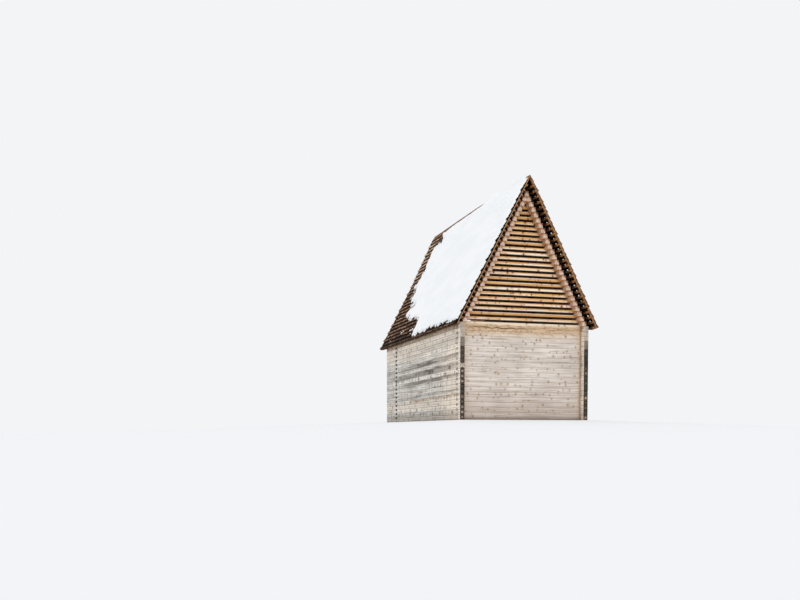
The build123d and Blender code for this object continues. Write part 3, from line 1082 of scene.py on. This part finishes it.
def boardTop():
    return slopeTop(roof["coverBase"] + roof["ridgeDepth"]) - roof["ridgeGap"] - roof["boardWidth"]


def underBoard(up):
    # underside of the ridge board, which follows the top course down to the ridge
    low = roof["coverBase"] + roof["coverDepth"]
    high = roof["coverBase"] + roof["ridgeDepth"]
    share = (up - boardTop()) / roof["boardWidth"]
    return low + (high - low) * max(0.0, share)


def makeVergeLaths():
    base = roof["coverBase"]
    top = base + roof["lathDepth"]
    peak = slopeTop(base) - roof["ridgeGap"] - roof["topTrim"]
    for name, side, seed in bothSides(54):
        def toWorld(along, y, out):
            x, z = slopePoint(side, along, out)
            return x, y, z

        for end, y0, endSeed in (("front", -vergeY, 0), ("rear", vergeY - roof["lathWidth"], 10)):
            batch = newBatch(seed + endSeed)
            y1 = y0 + roof["lathWidth"]
            rings = [(-roof["eaveReach"], y0, y1, base, top), (boardTop(), y0, y1, base, top),
                     (peak, y0, y1, base, base + lathTip)]
            loftTimber(batch, rings, toWorld, battenEdges, ((y0 + y1) / 2, base + roof["lathDepth"] / 2))
            node = name + "_" + end + "_verge_lath"
            finishBatch(batch, node + "_strip", lathTimber, [node])


def ridgeLift(y, up):
    # towards the rear the ridge climbs slightly, and the upper courses and the snow with it
    share = clamped((up - roof["liftFrom"]) / (boardTop() - roof["liftFrom"]))
    return roof["ridgeLift"] * share * clamped((y + halfLength) / halfLength)


def makeRidgeBoards():
    low = boardTop()
    high = slopeTop(roof["coverBase"] + roof["ridgeDepth"] + roof["boardThickness"]) - roof["topTrim"]
    rearEnd = vergeY + shingleSizes["rearFlare"] * ridgeBoards["past"]
    inset = ridgeBoards["gap"] / 2
    for name, side, seed in bothSides(56):
        batch = newBatch(seed)

        def toWorld(along, up, out):
            # the section is drawn level and laid on the tapering top course
            x, z = slopePoint(side, up, out + underBoard(up))
            return x, along, z + ridgeLift(along, up)

        stops = [-vergeY] + [cut + ridgeBoards["shift"] * side for cut in ridgeBoards["cuts"]] + [rearEnd]
        for start, end in zip(stops, stops[1:]):
            slip = batch["rng"].uniform(*ridgeBoards["slip"])
            places = [start + inset] + [0.0] * (start < 0.0 < end) + [end - inset]
            rings = [(y, low + slip, high, roof["hair"], roof["boardThickness"]) for y in places]
            loftTimber(batch, rings, toWorld, battenEdges, ((low + high) / 2, roof["boardThickness"] / 2))
        finishBatch(batch, name + "_ridge_boards", ridgeTimber, [name + "_ridge_board"])


# Split shingles in three layers

shingleSizes = {
    "widthLow": 0.070, "widthHigh": 0.175, "gap": 0.003, "length": 3 * pitch, "shortLength": 1.25 * pitch,
    "facet": 0.030, "tilt": 0.05, "stray": 0.011, "strayMost": 0.018, "ragged": 0.007, "uneven": 0.0015,
    "lift": 0.007, "thinnest": 0.003, "flat": 0.002, "underBoard": 0.001,
    "vergeStray": (-0.010, 0.016), "lathCover": (0.001, 0.050),
    # the porch verge runs out towards the ridge
    "rearFlare": 0.205, "flareFrom": 1.8,
    # every second course curls up at the verge, most on the left
    "vergeLift": {-1: ((0.028, 0.044), (0.002, 0.014)), 1: ((0.010, 0.022), (0.000, 0.006))},
}


def addShingle(batch, side, butt, y0, y1, length, outLow, outHigh, verge=None):
    # verge: how far a shingle at the verge curls up, and the side that stays down
    rng = batch["rng"]
    sizes = shingleSizes
    width = y1 - y0
    steps = max(2, min(5, round(width / sizes["facet"])))
    tilt = rng.uniform(-sizes["tilt"], sizes["tilt"])
    start = butt + max(-sizes["strayMost"], min(sizes["strayMost"], rng.gauss(0, sizes["stray"])))
    endUp = min(butt + length, slopeTop(roof["coverBase"]) - roof["topTrim"])
    fall = roof["buttThickness"] / pitch
    shift = (rng.uniform(0, 60), rng.uniform(0, 60), rng.uniform(0, 60))
    tone = rng.random()
    lift = rng.uniform(*verge[0]) if verge else rng.uniform(0, sizes["lift"])
    floor = roof["coverBase"] + (roof["lathDepth"] if verge else 0.0) + roof["hair"]
    base = len(batch["points"])

    def add(up, y, out):
        x, z = slopePoint(side, up, out)
        batch["points"].append((x, y, z + ridgeLift(y, up)))
        batch["place"].append((up + shift[0], y + shift[1], out + shift[2]))
        batch["section"].append((y - (y0 + y1) / 2, out - outLow, up - butt))
        batch["tone"].append(tone)

    for k in range(steps + 1):
        y = y0 + width * k / steps
        up = start + tilt * (y - y0) + rng.uniform(-1, 1) * sizes["ragged"]
        low = max(outLow - (outLow - roof["coverBase"]) * (up - butt) / sizes["length"], floor)
        add(up, y, min(outHigh - sizes["flat"], low + roof["hair"]))
        curl = abs(y - verge[1]) / width if verge else 1.0
        add(up, y, outHigh + lift * curl + rng.uniform(-sizes["uneven"], sizes["uneven"]))
    topLow = max(outLow - (outLow - roof["coverBase"] - roof["hair"]) * (endUp - butt) / sizes["length"],
                 floor)
    topHigh = max(outHigh - fall * (endUp - butt), topLow + sizes["thinnest"])
    if endUp > boardTop():
        topHigh = min(topHigh, underBoard(endUp) - sizes["underBoard"])
        topLow = min(topLow, topHigh - sizes["flat"])
    for y in (y0, y1):
        add(endUp, y, topLow)
        add(endUp, y, topHigh)
    lows = [base + 2 * k for k in range(steps + 2)] + [base + 2 * steps + 4]
    highs = [low + 1 for low in lows]
    # the last two of each are the upper end: first at y0, then at y1
    faces = batch["faces"]
    faces.append(tuple(highs[:-2] + [highs[-1], highs[-2]]))
    faces.append(tuple(lows[:-2] + [lows[-1], lows[-2]]))
    for k in range(steps):
        faces.append((lows[k], lows[k + 1], highs[k + 1], highs[k]))
    faces.append((lows[0], highs[0], highs[-2], lows[-2]))
    faces.append((lows[-3], highs[-3], highs[-1], lows[-1]))
    faces.append((lows[-2], lows[-1], highs[-1], highs[-2]))


def shingleRow(batch, side, butt, length, outLow, outHigh, number=1):
    rng = batch["rng"]
    sizes = shingleSizes
    low = -vergeY - rng.uniform(*sizes["vergeStray"])
    climb = (butt - sizes["flareFrom"]) / (boardTop() - sizes["flareFrom"])
    high = vergeY + rng.uniform(*sizes["vergeStray"]) + sizes["rearFlare"] * clamped(climb)
    first = -vergeY + roof["lathWidth"] + rng.uniform(*sizes["lathCover"])
    last = vergeY - roof["lathWidth"] - rng.uniform(*sizes["lathCover"])
    short = min(length, sizes["shortLength"])
    lift = sizes["vergeLift"][side][number % 2]
    addShingle(batch, side, butt, low, first - sizes["gap"], short, outLow, outHigh, (lift, first))
    y = first
    while last - y > sizes["widthLow"] * 0.5:
        width = rng.uniform(sizes["widthLow"], sizes["widthHigh"])
        if last - y - width < sizes["widthLow"]:
            width = last - y
        addShingle(batch, side, butt, y, y + width - sizes["gap"], length, outLow, outHigh)
        y += width
    addShingle(batch, side, butt, last, high, short, outLow, outHigh, (lift, last))


def makeShingles():
    stand = roof["coverBase"] + roof["coverDepth"]
    thick = roof["buttThickness"]
    for name, side, seed in bothSides(61):
        batch = newBatch(seed)
        eave = -roof["eaveReach"]
        # two short starter layers carry the first course
        for layer in (2, 1):
            outHigh = stand + thick - layer * thick
            shingleRow(batch, side, eave, (3 - layer) * pitch, outHigh - thick, outHigh)
        for number in range(math.ceil((boardTop() - pitch / 2 - eave) / pitch)):
            shingleRow(batch, side, eave + number * pitch, shingleSizes["length"], stand, stand + thick,
                       number)
        finishBatch(batch, name + "_split_shingles", shingleWood, [name + "_shingles"], 25)
        print("chapel:", name, "shingle faces", len(batch["faces"]))


# Snow on the left slope. Its edge runs round from the front of the ridge, each point given along the building
# and up the slope

snow = {
    "edge": (
        (-3.73, 4.66), (-1.02, 4.66), (-0.82, 4.44), (0.10, 4.35), (1.50, 4.32), (2.95, 4.29), (2.85, 4.15),
        (2.49, 3.84), (3.19, 3.84), (3.16, 3.51), (3.26, 3.27), (3.09, 2.95), (3.16, 2.66), (3.22, 2.47),
        (3.47, 2.23), (2.98, 2.04), (2.81, 1.86), (3.08, 1.70), (3.02, 1.59), (1.99, 1.31), (2.38, 1.17),
        (2.54, 0.98), (2.25, 0.89), (1.46, 0.73), (0.51, 0.62), (0.28, 0.35), (0.37, 0.16), (0.20, -0.04),
        (-0.32, -0.06), (-0.98, -0.04), (-1.75, -0.01), (-2.73, -0.02), (-3.955, -0.03), (-3.955, 4.20),
        (-3.99, 4.27), (-3.99, 4.38), (-3.76, 4.41),
    ),
    "gridY": (-4.10, 3.80), "gridUp": (-0.24, 4.76), "grid": 0.032, "merge": 0.0006,
    "edgeReach": 0.25, "slide": 1.2,
    "depth": 0.034, "round": 0.08, "bed": 0.130, "sag": 0.004, "crest": 0.030, "crestWidth": 0.10,
    "rolls": ((1.1, 0.8, 8, 0.014), (6.0, 2.0, 3, 0.003)),
    "soft": ((4.0, 4.0, 1, 0.035), (14.0, 14.0, 6, 0.012)),
    "raggedFrom": (-3.7, -3.2), "raggedTo": (4.3, 4.05), "calm": 0.15,
    "rearFrom": (0.6, 1.4), "rearTo": (4.1, 3.9),
    "tooth": 0.085, "rearTooth": 0.16, "toothWidth": 0.125,
    "notchSpacing": 0.19, "notchWidth": 0.040, "notchDepth": 0.080, "notchTop": 0.3,
}


def edgeDistance(points, edge):
    # positive inside the outline
    best = np.full(len(points), 1e9)
    inside = np.zeros(len(points), dtype=bool)
    for (ay, au), (by, bu) in zip(edge, edge[1:] + edge[:1]):
        run = np.array([by - ay, bu - au])
        rel = points - np.array([ay, au])
        share = np.clip(rel @ run / (run @ run), 0, 1)
        apart = np.linalg.norm(rel - share[:, None] * run, axis=1)
        best = np.minimum(best, apart)
        crosses = (points[:, 1] < au) != (points[:, 1] < bu)
        with np.errstate(divide="ignore", invalid="ignore"):
            level = ay + (points[:, 1] - au) * (by - ay) / (bu - au if bu != au else 1e-9)
        inside ^= crosses & (points[:, 0] < level)
    return np.where(inside, best, -best)


def waves(kinds, y, up):
    # kinds: waves a metre along the building and up the slope, seed, height
    return sum(height * noise.noise(Vector((y * perY, up * perUp, seed)))
               for perY, perUp, seed, height in kinds)


def ramp(limits, value):
    # 0 at the first limit and 1 at the second
    return clamped((value - limits[0]) / (limits[1] - limits[0]))


def snowShare(y, up):
    # ragged along the rear and the eave, where it follows single shingles; nearly straight elsewhere
    row = math.floor((up + roof["eaveReach"]) / pitch + 0.3 * noise.noise(Vector((y * 1.7, up, 4))))
    block = noise.cell(Vector((y / snow["toothWidth"] + row * 0.37, row + 0.5, 2))) - 0.35
    soft = waves(snow["soft"], y, up)
    ragged = ramp(snow["raggedFrom"], y) * ramp(snow["raggedTo"], up)
    rear = ramp(snow["rearFrom"], y) * ramp(snow["rearTo"], up)
    tooth = snow["tooth"] + (snow["rearTooth"] - snow["tooth"]) * rear
    # single shingles of the first course stick up through the edge over the eave
    number = math.floor(y / snow["notchSpacing"])
    chance = noise.cell(Vector((number + 0.5, 7.5, 3)))
    middle = (number + 0.25 + 0.5 * chance) * snow["notchSpacing"]
    notch = 0.0
    if up < snow["notchTop"]:
        notch = max(0.0, 1 - abs(y - middle) / snow["notchWidth"]) * snow["notchDepth"] * chance
    return (block * tooth + soft) * (snow["calm"] + (1 - snow["calm"]) * ragged) - notch


def snowPoint(y, up, out):
    # past the crest the snow folds over onto the right slope
    crest = slopeTop(out)
    x, z = slopePoint(1, 2 * crest - up, out) if up > crest else slopePoint(-1, up, out)
    return x, y, z


def makeSnow():
    grid = snow["grid"]
    ys = np.arange(*snow["gridY"], grid)
    ups = np.arange(*snow["gridUp"], grid)
    flat = np.array([(y, up) for y in ys for up in ups])
    distance = edgeDistance(flat, list(snow["edge"]))
    near = np.abs(distance) < snow["edgeReach"]
    distance[near] += np.array([snowShare(y, up) for y, up in flat[near]])
    field = distance.reshape(len(ys), len(ups))
    slopeY, slopeUp = np.gradient(field, grid)
    used = np.zeros(field.shape, dtype=bool)
    cells = []
    for i in range(len(ys) - 1):
        for j in range(len(ups) - 1):
            if field[i:i + 2, j:j + 2].max() > 0.0:
                cells.append((i, j))
                used[i:i + 2, j:j + 2] = True
    index = -np.ones(field.shape, dtype=int)
    index[used] = np.arange(used.sum())
    tops, bottoms = [], []
    for i, j in np.argwhere(used):
        y, up, d = ys[i], ups[j], field[i, j]
        if d < 0:
            # points outside slide onto the outline
            steep = math.hypot(slopeY[i, j], slopeUp[i, j]) + 1e-6
            move = min(-d / steep, grid * snow["slide"]) / steep
            y, up, d = y + slopeY[i, j] * move, up + slopeUp[i, j] * move, 0.0
        share = min(1.0, d / snow["round"])
        swell = math.sqrt(1 - (1 - share) ** 2)
        roll = waves(snow["rolls"], y, up)
        # the covering thins under the ridge boards, and the snow follows it down
        folded = min(up, 2 * slopeTop(snow["bed"]) - up)
        covering = roof["coverBase"] + roof["coverDepth"] + roof["buttThickness"]
        stand = min(covering, underBoard(folded) + roof["boardThickness"])
        crest = snow["crest"] * max(0.0, 1 - abs(up - slopeTop(stand)) / snow["crestWidth"])
        out = snow["bed"] + (stand + snow["depth"] + roll + crest - snow["bed"]) * swell
        x, y, z = snowPoint(y, up, out)
        tops.append((x, y, z + ridgeLift(y, folded)))
        bottoms.append(snowPoint(y, up, snow["bed"] - snow["sag"] * swell))
    points = tops + bottoms
    under = len(tops)
    faces = []
    ends = {}
    for i, j in cells:
        corners = [int(index[i, j]), int(index[i + 1, j]), int(index[i + 1, j + 1]), int(index[i, j + 1])]
        faces.append(tuple(corners))
        faces.append(tuple(under + corner for corner in reversed(corners)))
        for first, second in zip(corners, corners[1:] + corners[:1]):
            if ends.pop((second, first), None) is None:
                ends[(first, second)] = True
    for first, second in ends:
        faces.append((first, under + first, under + second, second))
    mesh = bpy.data.meshes.new("roof_snow")
    mesh.from_pydata(points, [], faces)
    cleanMesh(mesh, snow["merge"])
    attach(placeMesh("roof_snow", mesh, snowMaterial, 70), "root")
    print("chapel: snow faces", len(mesh.polygons))


snowBits = {
    # clumps behind the battens of the right verge, smaller towards the ridge
    "count": 26, "bare": (3, 9, 22), "radius": 0.021, "spread": (0.62, 1.15), "deep": 1.1,
    "fadeTo": 34, "fadeOver": 16, "smallest": 0.5, "raise": 0.75,
    "inset": 0.118, "insetStray": (-0.004, 0.008), "out": 0.066, "outStray": (-0.006, 0.006),
    # patches: along the building, up the slope, half length, half height
    "patches": (
        (1.94, 0.285, 0.12, 0.030), (1.78, 0.33, 0.07, 0.022), (0.84, 0.25, 0.16, 0.030),
        (0.66, 0.27, 0.08, 0.035), (2.96, 0.08, 0.06, 0.018), (0.61, 0.10, 0.07, 0.030),
        (2.11, 0.93, 0.07, 0.022),
    ),
    "lumps": 3, "strayLong": (-0.5, 0.5), "strayHigh": (-0.4, 0.4), "long": (0.5, 0.8), "high": (0.6, 0.9),
    "thick": 0.010, "sunk": 0.6, "wobble": 0.45, "wobbleSize": 1.6, "wobbleStep": 3.1,
}


def addClump(work, side, centre, size, seed):
    # centre and size are along the building, up the slope and out from it
    made = bmesh.ops.create_icosphere(work, subdivisions=2, radius=1.0)
    for vert in made["verts"]:
        drift = Vector((seed * snowBits["wobbleStep"], 0, 0))
        wobble = 1 + snowBits["wobble"] * noise.noise(vert.co * snowBits["wobbleSize"] + drift)
        y, up, out = [c + v * s * wobble for c, v, s in zip(centre, vert.co, size)]
        x, z = slopePoint(side, up, out)
        vert.co = Vector((x, y, z))


def makeSnowBits():
    rng = random.Random(71)
    work = bmesh.new()
    first = -roof["eaveReach"] + roof["tailCut"]
    for number in range(1, snowBits["count"] + 1):
        fade = max(snowBits["smallest"], (snowBits["fadeTo"] - number) / snowBits["fadeOver"])
        radius = snowBits["radius"] * rng.uniform(*snowBits["spread"]) * min(1.0, fade)
        if number in snowBits["bare"]:
            continue
        y = -vergeY + snowBits["inset"] + rng.uniform(*snowBits["insetStray"])
        up = first + number * pitch + roof["battenWidth"] + radius * snowBits["raise"]
        out = snowBits["out"] + rng.uniform(*snowBits["outStray"])
        addClump(work, 1, (y, up, out), (radius, radius, radius * snowBits["deep"]), number)
    lie = roof["coverBase"] + roof["coverDepth"] + roof["buttThickness"] * snowBits["sunk"]
    for number, (y, up, reach, height) in enumerate(snowBits["patches"]):
        for part in range(snowBits["lumps"]):
            centre = (y + rng.uniform(*snowBits["strayLong"]) * reach,
                      up + rng.uniform(*snowBits["strayHigh"]) * height, lie)
            size = (reach * rng.uniform(*snowBits["long"]), height * rng.uniform(*snowBits["high"]),
                    snowBits["thick"])
            addClump(work, -1, centre, size, number * 5 + part)
    mesh = bpy.data.meshes.new("snow_bits")
    work.to_mesh(mesh)
    work.free()
    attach(placeMesh("snow_bits", mesh, snowMaterial), "root")


def dressCadNodes():
    # rafters and joists keep their solids and take a material in the building's own coordinates
    for node, material in (("left_rafters", "rafterTimber"), ("right_rafters", "rafterTimber"),
                           ("floor_joists", "joistTimber")):
        made = bpy.data.materials.get(material) or makeRoughTimber(material)
        piece = bpy.data.objects[node]
        piece.data.materials.clear()
        piece.data.materials.append(made)


def makeRoughTimber(name):
    newMaterial(name)
    world = addNode("NewGeometry").outputs["Position"]
    fibre = placeGroup(fibreGroup, Place=world, Stretch=0.3, Fibres=120.0, Bands=26.0)
    colour = blendColour(fibre["Bands"], rgb(168, 130, 92), rgb(128, 94, 62))
    colour = laid(colour, rgb(84, 58, 38), fibre["Fine"], 0.3)
    return finishMaterial(colour, 0.85, 0.5, fibre["Fine"], 0.0015)


makeSideWalls()
makeCrossWalls()
makeSlats()
print("chapel: walls and gables made")
makeDoorFrame()
makeDeck()
makeRidgeTimber()
makeBattens()
makeVergeLaths()
makeRidgeBoards()
makeShingles()
print("chapel: roof made")
makeSnow()
makeSnowBits()
dressCadNodes()
print("chapel: snow laid")


# Stage, light and camera

stage = {
    "rings": (0.0, 0.05, 0.2, 0.5, 1.0, 2.0, 4.0, 8.0, 16.0, 32.0, 60.0), "sides": 96,
    "fall": 0.035, "easing": 0.4, "floor": rgb(243, 244, 246), "sky": rgb(243, 244, 246),
    "skyStrength": 0.92, "lamp": 0.6,
}


def makeFloor():
    # level under the building and falling gently away from its foot, below the low viewpoint
    points, faces = [], []
    sides = stage["sides"]
    for away in stage["rings"]:
        for k in range(sides):
            angle = 2 * math.pi * k / sides
            dirX, dirY = math.cos(angle), math.sin(angle)
            edge = min(halfWidth / max(abs(dirX), 1e-6), halfLength / max(abs(dirY), 1e-6))
            x, y = dirX * edge, dirY * edge
            z = -stage["fall"] * away * min(1.0, stage["easing"] + away)
            points.append((x + dirX * away, y + dirY * away, z))
    for ring in range(len(stage["rings"]) - 1):
        for k in range(sides):
            n = (k + 1) % sides
            low = ring * sides
            faces.append((low + k, low + n, low + sides + n, low + sides + k))
    faces.append(tuple(range(sides)))
    mesh = bpy.data.meshes.new("ground")
    mesh.from_pydata(points, [], faces)
    newMaterial("stageFloor")
    placeMesh("ground", mesh, finishMaterial(stage["floor"], 0.9, 0.0))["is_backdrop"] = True


def makeLight():
    world = bpy.data.worlds.new("overcast")
    bpy.context.scene.world = world
    world.use_nodes = True
    shader["tree"] = world.node_tree
    shader["tree"].nodes.clear()
    up = parted(addNode("TexCoord").outputs["Generated"])[2]
    dome = blendColour(spread(up, -0.2, 0.9), rgb(244, 245, 247), rgb(250, 251, 252))
    light = addNode("Background", {"Color": dome, "Strength": stage["skyStrength"]})
    seen = addNode("Background", {"Color": stage["sky"]})
    path = addNode("LightPath").outputs
    direct = larger(larger(path["Is Camera Ray"], path["Is Glossy Ray"]), path["Is Transmission Ray"])
    mix = addNode("MixShader", {0: direct, 1: light.outputs[0], 2: seen.outputs[0]})
    addNode("OutputWorld", {0: mix.outputs[0]})
    sun = bpy.data.lights.new("softLamp", "SUN")
    sun.energy = stage["lamp"]
    sun.angle = math.radians(50)
    lamp = bpy.data.objects.new("softLamp", sun)
    lamp.rotation_euler = Vector((-0.25, -0.75, 0.62)).to_track_quat("Z", "Y").to_euler()
    bpy.context.scene.collection.objects.link(lamp)


view = {"lens": 38.842, "tilt": 86.954, "turn": -16.1592, "shiftY": 0.22325,
        "place": (-10.094, -26.0456, -0.3574)}


def makeCamera():
    data = bpy.data.cameras.new("view")
    data.sensor_width = 36.0
    data.lens = view["lens"]
    data.shift_y = view["shiftY"]
    data.clip_end = 400.0
    camera = bpy.data.objects.new("view", data)
    camera.location = view["place"]
    camera.rotation_euler = (math.radians(view["tilt"]), 0.0, math.radians(view["turn"]))
    bpy.context.scene.collection.objects.link(camera)
    bpy.context.scene.camera = camera


makeFloor()
makeLight()
makeCamera()
bpy.context.scene.view_settings.view_transform = "Standard"
print("chapel: stage set")

bpy.context.view_layer.update()
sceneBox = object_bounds()
[[list(corner) for corner in box] for box in (cadBox, sceneBox)]
